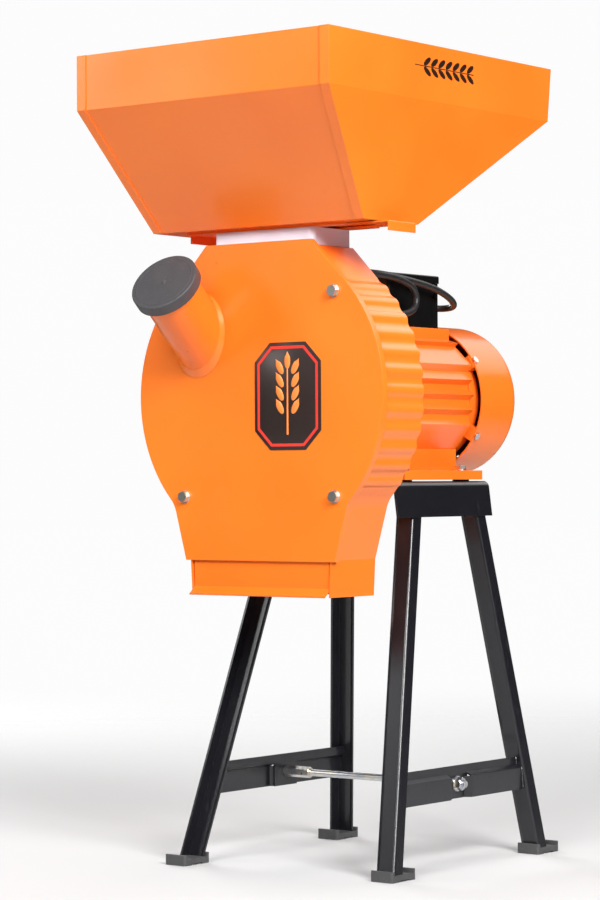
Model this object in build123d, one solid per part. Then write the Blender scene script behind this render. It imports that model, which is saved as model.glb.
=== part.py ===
"""Electric hammer mill on a four-legged stand, built piece by piece.

Units are millimetres. +X is to the right of somebody who faces the front cover, +Y runs from
the front cover back to the fan cowl and +Z is up. The origin lies on the floor, under the
middle of the whole mill.
"""

import os
from math import atan2, cos, degrees, radians, sin, tan

from build123d import *

# ---- Driving dimensions -------------------------------------------------------------------
FRONT = -163.25  # Y of the front cover's outer face
AXIS_Z = 602.0  # height of the rotor and motor axis
SHEET = 2.0  # thickness of the mill's sheet metal

# Mill housing
COVER_R = 194.0
COVER_TOP = 191.7  # above the axis
COVER_TOP_HALF = 83.0
COVER_BOTTOM = -207.5  # below the axis
COVER_BOTTOM_HALF = 118.5
COVER_RIM = 9.0  # how far the cover's rim is folded back
SHOULDER_DEG = 51.0  # where the top bevel meets the round part
HIP_DEG = -44.8  # where the round part meets the lower taper
HIP_RADIUS = 40.0
DRUM_INSET = 6.0  # drum wall inside the cover's outline
DRUM_DEPTH = 90.0
WAVE_HEIGHT = 1.5
WAVE_COUNT = 12
WAVE_START_DEG = -38.0
BACK_PLATE = 3.0
CHUTE_HALF = 110.0
CHUTE_BOTTOM = -251.5  # below the axis
SCREEN_R = 164.0
LEDGE_UP = -23.0  # the strips inside the drum that hold the screen down

# Feed tube on the front cover
TUBE_BASE = (-95.5, 78.3)  # X and height above the axis, on the cover's face
TUBE_DIR = (0.1, -1.0, 0.82)
TUBE_R = 38.0
TUBE_WALL = 2.0
TUBE_LENGTH = 98.0
WELD = 4.3
CAP_R = 45.0
CAP_TOP = 3.4
CAP_SKIRT = 14.6

# Hopper
RIM_Z, FOLD_Z, HOPPER_Z = 1033.2, 963.7, 813.4
RIM_HALF = 200.0
RIM_FRONT, RIM_BACK = -113.5, 369.6  # behind the cover's face
FOLD_BACK = 361.0
HOPPER_HALF, HOPPER_FRONT, HOPPER_BACK = 168.0, -3.0, 111.0
PANEL = 1.5
PANEL_BACK = 3.0  # level run through the back panel, which leans far over
FLANGE = 14.0
HEM = 9.0

# Inlet and gate
NECK_HALF, NECK_FRONT, NECK_BACK = 79.0, 11.0, 92.0
NECK_TOP = 810.0
GATE_LEFT, GATE_RIGHT = -127.0, 188.0
GATE_FRONT, GATE_BACK = 22.0, 78.0
GATE_Z, GATE_T, GATE_TAB = 810.4, 2.0, 10.5
INLET_HALF, INLET_FRONT, INLET_BACK = 50.0, 29.0, 71.0

# Rotor
SHAFT_R = 12.0
HUB_R = 28.0
DISC_R = 105.0
PIN_CIRCLE = 85.0
PIN_R = 6.0
HAMMER_TIP = 150.0
HAMMER_HALF = 15.0
HAMMER_T = 6.0
HAMMER_FRONTS = (29.0, 44.5, 60.0)
RUNNING = 0.05  # clearance on a radius

# Motor
SHELL_FRONT, SHELL_BACK = 150.0, 345.0
STATOR_R = 75.0
STATOR_FRONT, STATOR_BACK = 180.0, 310.0
COWL_R, COWL_FRONT, COWL_BACK = 100.0, 352.0, 440.0
LUG_DEGS = (31.0, -29.0, 149.0, 209.0)
PLATE_HALF, PLATE_FRONT, PLATE_BACK = 100.0, 175.0, 351.5
PLATE_BOTTOM, PLATE_TOP = -107.0, -95.0  # below the axis

# Capacitor and switch box
BOX_HALF, BOX_FRONT, BOX_BACK = 40.0, 225.0, 339.0
BOX_Z, LID_Z, BOX_TOP = 696.0, 757.0, 767.0

# Stand
TOP_Z, TOP_SKIRT = 493.0, 447.0
TOP_HALF, TOP_HALF_LOW = 104.0, 110.0
TOP_FRONT, TOP_BACK = 146.0, 360.0
TOP_T = 2.5
LEG_T, LEG_WIDE, LEG_DEEP = 3.0, 27.0, 19.0
LEG_LOW_Z, LEG_HIGH_Z = 5.0, 480.0
# the bend of each angle leg: X and depth at the two heights it was set out at, and its side
SET_LOW, SET_HIGH = 20.0, 438.0
LEGS = {
    "leg_front_right": ((165.0, 57.0), (108.0, 180.0), 1),
    "leg_rear_right": ((165.0, 379.0), (108.0, 330.0), 1),
    "leg_front_left": ((-165.0, 63.0), (-108.0, 172.0), -1),
    "leg_rear_left": ((-165.0, 381.0), (-108.0, 312.0), -1),
}
BAR_LOW, BAR_HIGH, BAR_STEP = 86.0, 128.0, 116.0
BAR_OUT, BAR_IN, BAR_T = 148.5, 140.5, 2.5
ROD_DEPTH, ROD_Z, ROD_R = 229.0, 105.0, 4.5

# Mains cord
CORD_R = 4.5
COIL_R, COIL_X, COIL_DEPTH = 45.0, 0.0, 158.0
COIL_HALF, COIL_HEIGHT = 9.0, 18.0
CORD_OUT = [
    (8, 348, 727),
    (8, 358, 727),
    (14, 369, 726),
    (28, 376, 726),
    (43, 371, 728),
    (51, 356, 734),
    (53, 335, 742),
    (55, 306, 749),
    (56, 270, 754),
    (56, 231, 758),
    (53, 193, 762),
    (47, 160, 763),
    (45, 131, 762),
    (54, 110, 760),
    (73, 105, 759),
    (90, 117, 757),
    (94, 141, 756),
    (88, 170, 755),
    (80, 198, 753),
    (75, 219, 750),
    (73, 235, 744),
    (72, 243, 733),
    (73, 239, 720),
    (74, 224, 712),
    (71, 203, 708),
    (64, 184, 705),
    (55, 167, 702),
    (50, 149, 701),
]
CORD_TAIL = [
    (0, 207, 710),
    (23, 203, 712),
    (42, 189, 716),
    (51, 167, 721),
    (48, 145, 727),
    (36, 131, 731),
    (18, 128, 733),
]
PLUG_DEPTH, PLUG_Z, PLUG_RIGHT, PLUG_LEFT = 128.0, 733.0, 18.0, -50.0


# ---- Small helpers ------------------------------------------------------------------------
def y(depth):
    """Y of a place that lies this far behind the front cover's face."""
    return FRONT + depth


def block(x0, x1, d0, d1, z0, z1):
    """A box from its limits, with Y given as depths behind the cover's face."""
    middle = Pos((x0 + x1) / 2, y((d0 + d1) / 2), (z0 + z1) / 2)
    return middle * Box(x1 - x0, d1 - d0, z1 - z0)


def rod(radius, d0, d1, x=0.0, up=0.0):
    """A round bar along Y between two depths, at a height above the axis."""
    return Pos(x, y((d0 + d1) / 2), AXIS_Z + up) * Rot(90, 0, 0) * Cylinder(radius, d1 - d0)


def ring(outer, inner, d0, d1, x=0.0, up=0.0):
    return rod(outer, d0, d1, x, up) - rod(inner, d0, d1, x, up)


def rod_x(radius, x0, x1, depth, z):
    return Pos((x0 + x1) / 2, y(depth), z) * Rot(0, 90, 0) * Cylinder(radius, x1 - x0)


def rod_z(radius, x, depth, z0, z1):
    return Pos(x, y(depth), (z0 + z1) / 2) * Cylinder(radius, z1 - z0)


def hexagon(flats, height):
    """A hexagonal head or nut with its corners turned off at both ends."""
    bar = extrude(RegularPolygon(flats / 2, 6, major_radius=False), height)
    blank = Pos(0, 0, height / 2) * Cylinder(flats * 0.573, height)
    return bar & chamfer(blank.edges().filter_by(GeomType.CIRCLE), flats * 0.065)


def hex_y(flats, d0, d1, x, up):
    """A hexagonal head or nut whose axis runs along Y."""
    return Pos(x, y(d1), AXIS_Z + up) * Rot(90, 0, 0) * hexagon(flats, d1 - d0)


def along_y(face, d0, d1):
    """Extrude a face drawn as (X, height above the axis) between two depths."""
    return extrude(Pos(0, y(d1), AXIS_Z) * (Plane.XZ * face), d1 - d0)


def polygon(points):
    return make_face(Polyline(*points, close=True))


def frustum(low, high):
    """A closed solid between two level rectangles (x0, x1, d0, d1, z) with parallel sides."""
    corners = []
    for x0, x1, d0, d1, z in (low, high):
        corners.append([(x0, y(d0), z), (x1, y(d0), z), (x1, y(d1), z), (x0, y(d1), z)])
    loops = [corners[0][::-1], corners[1]]
    for i in range(4):
        j = (i + 1) % 4
        loops.append([corners[0][i], corners[0][j], corners[1][j], corners[1][i]])
    return Solid(Shell([Face(Wire.make_polygon(loop, close=True)) for loop in loops]))


def polar(radius, angle):
    return (radius * cos(radians(angle)), radius * sin(radians(angle)))


def largest(shape):
    return max(shape.solids(), key=lambda solid: solid.volume)


# ---- Mill housing -------------------------------------------------------------------------
def half_outline(inset, bottom_half, bottom, waves, chute=False):
    """The right half of the housing's outline, from the middle of the top to the bottom."""
    radius = COVER_R - inset
    top = COVER_TOP - inset
    top_half = COVER_TOP_HALF - inset * tan(radians(23.2))
    shoulder, hip = polar(radius, SHOULDER_DEG), polar(radius, HIP_DEG)
    edges = Polyline((0, top), (top_half, top), shoulder)
    if waves:
        step = (SHOULDER_DEG - WAVE_START_DEG) / (2 * WAVE_COUNT)
        for i in range(2 * WAVE_COUNT):
            start = SHOULDER_DEG - i * step
            crest = radius + WAVE_HEIGHT * (1 if i % 2 else -1)
            edges += ThreePointArc(
                polar(radius, start), polar(crest, start - step / 2), polar(radius, start - step)
            )
        middle = (WAVE_START_DEG + HIP_DEG) / 2
        edges += ThreePointArc(polar(radius, WAVE_START_DEG), polar(radius, middle), hip)
    else:
        middle = (SHOULDER_DEG + HIP_DEG) / 2
        edges += ThreePointArc(shoulder, polar(radius, middle), hip)
    points = [hip, (bottom_half, bottom)]
    if chute:
        points = [hip, (bottom_half, COVER_BOTTOM + 2), (CHUTE_HALF - inset + DRUM_INSET, bottom)]
    edges += Polyline(*points, (0, bottom))
    return edges


def housing_face(inset, bottom_half, bottom, waves=False, chute=False):
    right = half_outline(inset, bottom_half, bottom, waves, chute)
    face = make_face(right + mirror(right, about=Plane.YZ))
    hip_z = polar(COVER_R - inset, HIP_DEG)[1]
    hips = [v for v in face.vertices() if abs(v.Y - hip_z) < 0.5]
    return fillet(hips, HIP_RADIUS)


def tube_place():
    """A frame at the foot of the feed tube with its local Z along the tube."""
    x, up = TUBE_BASE
    return Plane(origin=(x, y(0), AXIS_Z + up), z_dir=TUBE_DIR)


def tube_bar(radius, start, length):
    bar = Pos(0, 0, start + length / 2) * Cylinder(radius, length)
    return tube_place().location * bar


BOLT_PLACES = ((120.0, 126.0), (120.0, -127.0), (-120.0, -127.0))


def front_cover():
    outer = housing_face(0, COVER_BOTTOM_HALF, COVER_BOTTOM)
    inner = housing_face(SHEET, COVER_BOTTOM_HALF - SHEET, COVER_BOTTOM - 5)
    cover = along_y(outer, 0, COVER_RIM) - along_y(inner, SHEET, COVER_RIM + 1)
    cover -= tube_bar(TUBE_R - TUBE_WALL, -60, 120)
    for x, up in BOLT_PLACES:
        cover -= rod(4.2, -1, 3, x, up)
    return cover


def drum_wall():
    half = COVER_BOTTOM_HALF - DRUM_INSET
    outer = housing_face(DRUM_INSET, half, CHUTE_BOTTOM, waves=True, chute=True)
    inner = housing_face(
        DRUM_INSET + SHEET, half - SHEET, CHUTE_BOTTOM - 5, waves=True, chute=True
    )
    wall = along_y(outer, SHEET, DRUM_DEPTH + BACK_PLATE) - along_y(inner, 0, DRUM_DEPTH + 5)
    top = AXIS_Z + COVER_TOP - DRUM_INSET
    wall -= block(-56, 56, 27, 76, top - 10, top + 10)
    for x, depth in HOPPER_BOLTS:
        wall -= rod_z(3.3, x, depth, top - 10, top + 10)
    low, high = AXIS_Z + LEDGE_UP, AXIS_Z + LEDGE_UP + 4
    for side in (-1, 1):
        x0, x1 = sorted((side * 150, side * COVER_R))
        wall += block(x0, x1, 4, 88, low, high) & along_y(outer, SHEET, DRUM_DEPTH)
    return wall


def back_plate():
    half = COVER_BOTTOM_HALF - DRUM_INSET - SHEET
    face = housing_face(DRUM_INSET + SHEET, half, CHUTE_BOTTOM, waves=True, chute=True)
    plate = along_y(face, DRUM_DEPTH, DRUM_DEPTH + BACK_PLATE)
    plate -= rod(20.0, DRUM_DEPTH - 1, DRUM_DEPTH + 5)
    for x, up in BOLT_PLACES:
        plate -= rod(4.2, DRUM_DEPTH - 1, DRUM_DEPTH + 5, x, up)
    return plate


def chute_front():
    """The chute's front wall, which turns forward into a lip at the mouth."""
    inside = CHUTE_HALF - SHEET
    bottom = AXIS_Z + CHUTE_BOTTOM
    profile = [
        (y(4), bottom + 56),
        (y(4), bottom + 11),
        (y(-7), bottom + 1.6),
        (y(-6), bottom),
        (y(6), bottom + 10),
        (y(6), bottom + 56),
    ]
    wall = extrude(Plane.YZ * polygon(profile), inside, both=True)
    return wall


def cover_bolts():
    bolts = []
    for x, up in BOLT_PLACES:
        bolt = hex_y(13, -6.5, -1.2, x, up) + rod(8, -1.2, 0, x, up)
        bolt += rod(4, 0, DRUM_DEPTH + 12, x, up)
        bolt += hex_y(13, DRUM_DEPTH + BACK_PLATE, DRUM_DEPTH + 9.5, x, up)
        bolts.append(bolt)
    return Compound(bolts)


def bolt_spacers():
    return Compound([ring(7, 4.2, SHEET, DRUM_DEPTH, x, up) for x, up in BOLT_PLACES])


def screen():
    """The perforated half-round sieve under the hammers."""
    sieve = ring(SCREEN_R, SCREEN_R - SHEET, 4, 88)
    sieve -= block(-200, 200, 0, 95, AXIS_Z + LEDGE_UP, AXIS_Z + 200)
    columns, rows = 25, 6
    holes = []
    for i in range(columns):
        angle = -90 + (i - (columns - 1) / 2) * 6.2
        for j in range(rows):
            depth = 12 + j * 13 + (6.5 if i % 2 else 0)
            hole = Pos(0, y(depth), AXIS_Z) * Rot(0, -angle, 0)
            holes.append(hole * Pos(SCREEN_R, 0, 0) * Rot(0, 90, 0) * Cylinder(3.5, 12))
    return sieve - holes


def feed_tube():
    x, up = TUBE_BASE
    tube = tube_bar(TUBE_R, -60, 60 + TUBE_LENGTH)
    lean = Vector(*TUBE_DIR).normalized()
    stretch = 1 / abs(lean.Y)
    slope = degrees(atan2(lean.Z, lean.X))
    sections = []
    for rise, grow in ((0.0, WELD), (6.5, 0.4)):
        centre_x = x + rise * lean.X / abs(lean.Y)
        centre_up = up + rise * lean.Z / abs(lean.Y)
        oval = Rot(0, 0, slope) * Ellipse((TUBE_R + grow) * stretch, TUBE_R + grow)
        sections.append(Pos(0, y(-rise), AXIS_Z) * (Plane.XZ * (Pos(centre_x, centre_up) * oval)))
    tube += loft(sections)
    tube -= tube_bar(TUBE_R - TUBE_WALL, -80, 220)
    return largest(tube - block(x - 200, x + 200, 0, 200, AXIS_Z - 200, AXIS_Z + 300))


def tube_cap():
    """A push-on cap: closed top, outer skirt and an inner collar that grips the tube."""
    end = TUBE_LENGTH
    low = end + CAP_TOP - CAP_SKIRT
    cap = tube_bar(CAP_R, low, CAP_SKIRT)
    top_edge = cap.edges().filter_by(GeomType.CIRCLE)
    place = tube_place()
    rim = max(top_edge, key=lambda e: (e.center() - place.origin).dot(place.z_dir))
    cap = fillet(rim, 1.6)
    cap -= tube_bar(CAP_R - 2.4, low - 1, CAP_SKIRT - CAP_TOP + 1)
    cap += tube_bar(TUBE_R + 2.5, low + 2, CAP_SKIRT - CAP_TOP - 2)
    cap -= tube_bar(TUBE_R + RUNNING, low - 1, CAP_SKIRT - CAP_TOP + 1)
    ribs = 12
    for i in range(ribs):
        rib = Pos(TUBE_R + 4.2, 0, low + 3 + (CAP_SKIRT - CAP_TOP - 3) / 2)
        rib *= Box(5.4, 2.0, CAP_SKIRT - CAP_TOP - 3)
        cap += place.location * (Rot(0, 0, 360 * i / ribs) * rib)
    return cap


# ---- Rotor --------------------------------------------------------------------------------
PIN_DEGS = (0, 90, 180, 270)
DISC_FRONTS = (20.0, 70.0)
DISC_T = 5.0


def rotor_body():
    """The hub with its two welded discs."""
    body = rod(HUB_R, 16, 84)
    for front in DISC_FRONTS:
        body += rod(DISC_R, front, front + DISC_T)
    for angle in PIN_DEGS:
        body -= rod(PIN_R, 10, 90, *polar(PIN_CIRCLE, angle))
    return body - rod(SHAFT_R, 10, 90)


def hammer_pins():
    pins = []
    for angle in PIN_DEGS:
        place = polar(PIN_CIRCLE, angle)
        pin = rod(PIN_R, 16.5, 78.5, *place)
        pin += rod(PIN_R + 3, 16.5, 20, *place) + rod(PIN_R + 3, 75, 78.5, *place)
        pins.append(pin)
    return Compound(pins)


def pin_spacers():
    """The loose rings that keep the hammers apart on their pins."""
    gap = 0.2
    edges = [DISC_FRONTS[0] + DISC_T]
    for front in HAMMER_FRONTS:
        edges += [front - gap, front + HAMMER_T + gap]
    edges.append(DISC_FRONTS[1])
    rings = []
    for angle in PIN_DEGS:
        for d0, d1 in zip(edges[::2], edges[1::2]):
            rings.append(ring(PIN_R + 4, PIN_R, d0, d1, *polar(PIN_CIRCLE, angle)))
    return Compound(rings)


def hammer_set(angle):
    """Three flat hammers that hang side by side on one pin and swing together."""
    hammers = []
    for front in HAMMER_FRONTS:
        d1 = front + HAMMER_T
        blade = rod(HAMMER_HALF, front, d1, PIN_CIRCLE, 0)
        bar = block(PIN_CIRCLE, HAMMER_TIP, front, d1, AXIS_Z - HAMMER_HALF, AXIS_Z + HAMMER_HALF)
        blade = blade + bar - rod(PIN_R + RUNNING, front - 1, d1 + 1, PIN_CIRCLE, 0)
        hammers.append(blade.rotate(Axis((0, 0, AXIS_Z), (0, -1, 0)), angle))
    return Compound(hammers)


def rotor_nut():
    nut = hex_y(30, 8, 16, 0, 0) - rod(SHAFT_R - 2, 7, 17)
    return nut


# ---- Motor --------------------------------------------------------------------------------
def motor_shaft():
    shaft = rod(SHAFT_R, 16, 405) + rod(SHAFT_R - 2, 5, 16)
    return shaft


def rotor_core():
    return ring(41.5, SHAFT_R, STATOR_FRONT, STATOR_BACK)


def stator_core():
    core = ring(STATOR_R, 42.0, STATOR_FRONT, STATOR_BACK)
    slots = 12
    for i in range(slots):
        slot = block(48, 62, STATOR_FRONT - 1, STATOR_BACK + 1, AXIS_Z - 5, AXIS_Z + 5)
        core -= slot.rotate(Axis((0, 0, AXIS_Z), (0, 1, 0)), i * 360 / slots)
    return core


def windings():
    """The copper end turns that stand out of both ends of the stator."""
    rings = [(STATOR_FRONT - 18, STATOR_FRONT), (STATOR_BACK, STATOR_BACK + 18)]
    return Compound([ring(68, 47, d0, d1) for d0, d1 in rings])


FINS = ((90, 25), (93, 5), (91, -15), (87, -34.5))
FIN_DEPTH = 9.0


def shell_face():
    """The finned cross-section of the motor's shell."""
    points = [(52, 94), (52, 79), (67, 75), (62, 70), (88, 45), (82, 36)]
    for i, (x, up) in enumerate(FINS):
        points.append((x, up))
        if i + 1 < len(FINS):
            points.append((x - FIN_DEPTH, up - 6))
            points.append((x - FIN_DEPTH + 1, FINS[i + 1][1] + 6))
    points += [(62, -65), (45, -80)]
    return polygon(points + [(-x, up) for x, up in reversed(points)])


def motor_shell():
    return along_y(shell_face(), SHELL_FRONT, SHELL_BACK) - rod(STATOR_R, 140, 350)


def revolved(points):
    """Turn a closed profile, given as (radius, depth), about the rotor axis."""
    profile = polygon([(radius, y(depth)) for radius, depth in points])
    return Pos(0, 0, AXIS_Z) * revolve(profile, Axis.Y)


BEARING_R, BEARING_W = 26.0, 15.0
FRONT_BEARING, REAR_BEARING = 104.0, 350.0


def front_end_shield():
    back = FRONT_BEARING + BEARING_W
    points = [
        (15, 93),
        (88, 93),
        (88, SHELL_FRONT),
        (80, SHELL_FRONT),
        (80, 103),
        (34, 103),
        (34, back),
        (BEARING_R, back),
        (BEARING_R, FRONT_BEARING),
        (15, FRONT_BEARING),
    ]
    shield = revolved(points)
    for x, up in BOLT_PLACES:
        shield -= hex_y(15, 92, 103, x, up)
    return shield


def rear_end_shield():
    back = REAR_BEARING + BEARING_W
    points = [
        (BEARING_R, REAR_BEARING),
        (34, REAR_BEARING),
        (34, 357),
        (74, 357),
        (74, SHELL_BACK),
        (86, SHELL_BACK),
        (86, 364),
        (36, 368),
        (15, 368),
        (15, back),
        (BEARING_R, back),
    ]
    shield = revolved(points)
    for angle in LUG_DEGS:
        lug = block(82, COWL_R + 10, 350, 362, AXIS_Z - 9, AXIS_Z + 9)
        lug = lug.rotate(Axis((0, 0, AXIS_Z), (0, -1, 0)), angle)
        shield += lug & rod(COWL_R - SHEET, 349, 363)
    return shield - cowl_screws()


def bearings():
    rings = []
    for front in (FRONT_BEARING, REAR_BEARING):
        rings.append(ring(BEARING_R, SHAFT_R + RUNNING, front, front + BEARING_W))
    return Compound(rings)


def cooling_fan():
    fan = ring(20, SHAFT_R, 372, 398) + ring(87, 20, 372, 375)
    blades = 7
    for i in range(blades):
        blade = block(19, 86, 372, 398, AXIS_Z - 1.5, AXIS_Z + 1.5)
        fan += blade.rotate(Axis((0, 0, AXIS_Z), (0, 1, 0)), i * 360 / blades)
    return fan


def fan_cowl():
    points = [(0, COWL_FRONT), (COWL_R, COWL_FRONT), (COWL_R, COWL_BACK), (0, COWL_BACK)]
    cowl = revolved(points)
    rim = cowl.edges().filter_by(GeomType.CIRCLE).sort_by(Axis.Y)[-1]
    cowl = fillet(rim, 14)
    inner = revolved(
        [
            (0, COWL_FRONT - 1),
            (COWL_R - SHEET, COWL_FRONT - 1),
            (COWL_R - SHEET, COWL_BACK - SHEET),
            (0, COWL_BACK - SHEET),
        ]
    )
    rim = inner.edges().filter_by(GeomType.CIRCLE).sort_by(Axis.Y)[-1]
    cowl -= fillet(rim, 14 - SHEET)
    slots, inner_r, outer_r = 24, 30, 76
    for i in range(slots):
        slot = block(inner_r, outer_r, COWL_BACK - 5, COWL_BACK + 5, AXIS_Z - 2.5, AXIS_Z + 2.5)
        cowl -= slot.rotate(Axis((0, 0, AXIS_Z), (0, 1, 0)), i * 360 / slots)
    for angle in LUG_DEGS:
        cowl -= radial(rod_x(2.5, 80, 110, 356, AXIS_Z), angle)
    return cowl


def radial(shape, angle):
    """Turn a shape that was drawn on the +X side of the axis to an angle about it."""
    return shape.rotate(Axis((0, 0, AXIS_Z), (0, -1, 0)), angle)


def cowl_screws():
    screws = []
    for angle in LUG_DEGS:
        screw = rod_x(2.5, 88, 101, 356, AXIS_Z) + rod_x(4.8, 100.1, 103, 356, AXIS_Z)
        screws.append(radial(screw, angle))
    return Compound(screws)


BASE_BOLTS = [(x, depth) for x in (-80, 80) for depth in (200, 330)]


def motor_base():
    """The thick plate under the motor, with the saddle that the shell sits in."""
    low, high = AXIS_Z + PLATE_BOTTOM, AXIS_Z + PLATE_TOP
    base = block(-PLATE_HALF, PLATE_HALF, PLATE_FRONT, PLATE_BACK, low, high)
    saddle = block(-62, 62, 185, 345, high, AXIS_Z - 66)
    base += saddle - along_y(shell_face(), 180, 350)
    for x, depth in BASE_BOLTS:
        base -= rod_z(4.2, x, depth, low - 1, high + 1)
    return base


def base_bolts():
    bolts = []
    top, pads = AXIS_Z + PLATE_TOP, TOP_Z - TOP_T
    for x, depth in BASE_BOLTS:
        bolt = rod_z(4, x, depth, pads - 9, top) + rod_z(8, x, depth, top, top + 1.4)
        bolt += Pos(x, y(depth), top + 1.4) * hexagon(13, 5.3)
        bolt += Pos(x, y(depth), pads - 6.5) * hexagon(13, 6.5)
        bolts.append(bolt)
    return Compound(bolts)


def base_pads():
    """Rubber washers between the motor's plate and the stand."""
    low, high = TOP_Z, AXIS_Z + PLATE_BOTTOM
    pads = [rod_z(11, x, d, low, high) - rod_z(4.2, x, d, low, high) for x, d in BASE_BOLTS]
    return Compound(pads)


# ---- Capacitor and switch box -------------------------------------------------------------
BOX_WALL = 2.5
GLAND_X, GLAND_Z = 8.0, 727.0
SWITCH_DEPTH, SWITCH_Z = 285.0, 743.0
SWITCH_LONG, SWITCH_HIGH = 26.0, 19.0


def switch_box():
    box = block(-BOX_HALF, BOX_HALF, BOX_FRONT, BOX_BACK, BOX_Z, LID_Z)
    box = fillet(box.edges().filter_by(Axis.Z), 4)
    inside = block(
        -BOX_HALF + BOX_WALL,
        BOX_HALF - BOX_WALL,
        BOX_FRONT + BOX_WALL,
        BOX_BACK - BOX_WALL,
        BOX_Z + BOX_WALL,
        LID_Z + 1,
    )
    box -= inside
    half_y, half_z = SWITCH_LONG / 2, SWITCH_HIGH / 2
    box -= block(
        -BOX_HALF - 1,
        -BOX_HALF + 3,
        SWITCH_DEPTH - half_y,
        SWITCH_DEPTH + half_y,
        SWITCH_Z - half_z,
        SWITCH_Z + half_z,
    )
    rib = block(BOX_HALF, BOX_HALF + 2, BOX_BACK - 12, BOX_BACK - 6, BOX_Z, LID_Z)
    box += rib
    return box - rod(6, BOX_BACK - 5, BOX_BACK + 1, GLAND_X, GLAND_Z - AXIS_Z)


def box_lid():
    over = 1.5
    lid = block(
        -BOX_HALF - over, BOX_HALF + over, BOX_FRONT - over, BOX_BACK + over, LID_Z, BOX_TOP
    )
    lid = fillet(lid.edges().filter_by(Axis.Z), 5)
    lid = fillet(lid.faces().sort_by(Axis.Z)[-1].edges(), 2)
    lid -= block(
        -BOX_HALF + BOX_WALL,
        BOX_HALF - BOX_WALL,
        BOX_FRONT + BOX_WALL,
        BOX_BACK - BOX_WALL,
        LID_Z - 1,
        BOX_TOP - BOX_WALL,
    )
    return lid


def capacitors():
    cans = []
    for x in (-17.5, 18.5):
        cans.append(rod(16.0, 232, 300, x, BOX_Z + BOX_WALL + 16.2 - AXIS_Z))
    return Compound(cans)


def switch_bezel():
    """The frame of the rocker switch, snapped into the left wall of the box."""
    half_y, half_z, flange = SWITCH_LONG / 2, SWITCH_HIGH / 2, 2.5
    frame = block(
        -BOX_HALF - 2,
        -BOX_HALF,
        SWITCH_DEPTH - half_y - flange,
        SWITCH_DEPTH + half_y + flange,
        SWITCH_Z - half_z - flange,
        SWITCH_Z + half_z + flange,
    )
    frame = fillet(frame.edges().filter_by(Axis.X), 2)
    frame += block(
        -BOX_HALF,
        -BOX_HALF + 9,
        SWITCH_DEPTH - half_y,
        SWITCH_DEPTH + half_y,
        SWITCH_Z - half_z,
        SWITCH_Z + half_z,
    )
    frame -= block(
        -BOX_HALF - 3,
        -BOX_HALF + 7.5,
        SWITCH_DEPTH - half_y + 2,
        SWITCH_DEPTH + half_y - 2,
        SWITCH_Z - half_z + 2,
        SWITCH_Z + half_z - 2,
    )
    return frame


ROCKER_TILT = 10.0
ROCKER_PIVOT_X = -38.0


def rocker():
    """The rocker, tilted to its off side, about a level pivot along Y."""
    half_z = SWITCH_HIGH / 2 - 3.2
    half_y = SWITCH_LONG / 2 - 2.5
    points = [(2.6, 0), (0, -half_z * 0.9), (-4.4, -half_z), (-2.6, 0), (-4.4, half_z)]
    points.append((0, half_z * 0.9))
    key = Pos(ROCKER_PIVOT_X, y(SWITCH_DEPTH + half_y), SWITCH_Z)
    key *= extrude(Plane.XZ * polygon(points), 2 * half_y)
    axis = Axis((ROCKER_PIVOT_X, y(SWITCH_DEPTH), SWITCH_Z), (0, 1, 0))
    return key.rotate(axis, ROCKER_TILT)


def cable_gland():
    """A tapered strain relief through the back wall of the box."""
    up = GLAND_Z - AXIS_Z
    inner, outer = BOX_BACK - 11, BOX_BACK + 9
    points = [
        (CORD_R, inner),
        (8.5, inner),
        (8.5, BOX_BACK - BOX_WALL),
        (6, BOX_BACK - BOX_WALL),
        (6, BOX_BACK),
        (9, BOX_BACK),
        (9, BOX_BACK + 2),
        (7.2, BOX_BACK + 3),
        (5.6, outer),
        (CORD_R, outer),
    ]
    gland = Pos(GLAND_X, 0, up) * revolved(points)
    return gland + rod(CORD_R, inner, outer, GLAND_X, up)


# ---- Mains cord ---------------------------------------------------------------------------
def cord_tube(name, route):
    """A round cord along straight runs that are joined by tangent arcs."""
    points = [Vector(px, y(depth), pz) for px, depth, pz in route]
    runs = [b - a for a, b in zip(points, points[1:])]
    radii = []
    for before, after in zip(runs, runs[1:]):
        turn = radians(before.get_angle(after))
        radii.append(0.45 * min(before.length, after.length) / tan(turn / 2))
    path = FilletPolyline(*points, radius=radii)
    print(name, "radii", [round(radius) for radius in radii], "length", round(path.length))
    section = Plane(origin=points[0], z_dir=runs[0]) * Circle(CORD_R)
    tube = sweep(section, path=path)
    print(name, "volume over section times length", tube.volume / (section.area * path.length))
    return tube


def cord_coil():
    """The outer shape of the coil that the rest of the cord is wound into."""
    outer = rod_z(COIL_R + COIL_HALF, COIL_X, COIL_DEPTH, BOX_Z, BOX_Z + COIL_HEIGHT)
    hole = rod_z(COIL_R - COIL_HALF, COIL_X, COIL_DEPTH, BOX_Z, BOX_Z + COIL_HEIGHT)
    return outer - hole


def mains_plug():
    """A round moulded plug with two pins and a tapered tail, lying on the coil."""
    body = rod_x(17, PLUG_LEFT, PLUG_LEFT + 34, PLUG_DEPTH, PLUG_Z)
    body = fillet(body.edges().filter_by(GeomType.CIRCLE), 2.5)
    tail = Pos(PLUG_LEFT + 34 + 14, y(PLUG_DEPTH), PLUG_Z) * Rot(0, 90, 0)
    tail *= Cone(11, 6.2, 28)
    body += tail
    body += rod_x(6.2, PLUG_RIGHT - 6, PLUG_RIGHT, PLUG_DEPTH, PLUG_Z)
    for shift in (-9.5, 9.5):
        pin = rod_x(2.4, PLUG_LEFT - 19, PLUG_LEFT + 1, PLUG_DEPTH + shift, PLUG_Z)
        body += pin
    return body


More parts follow.
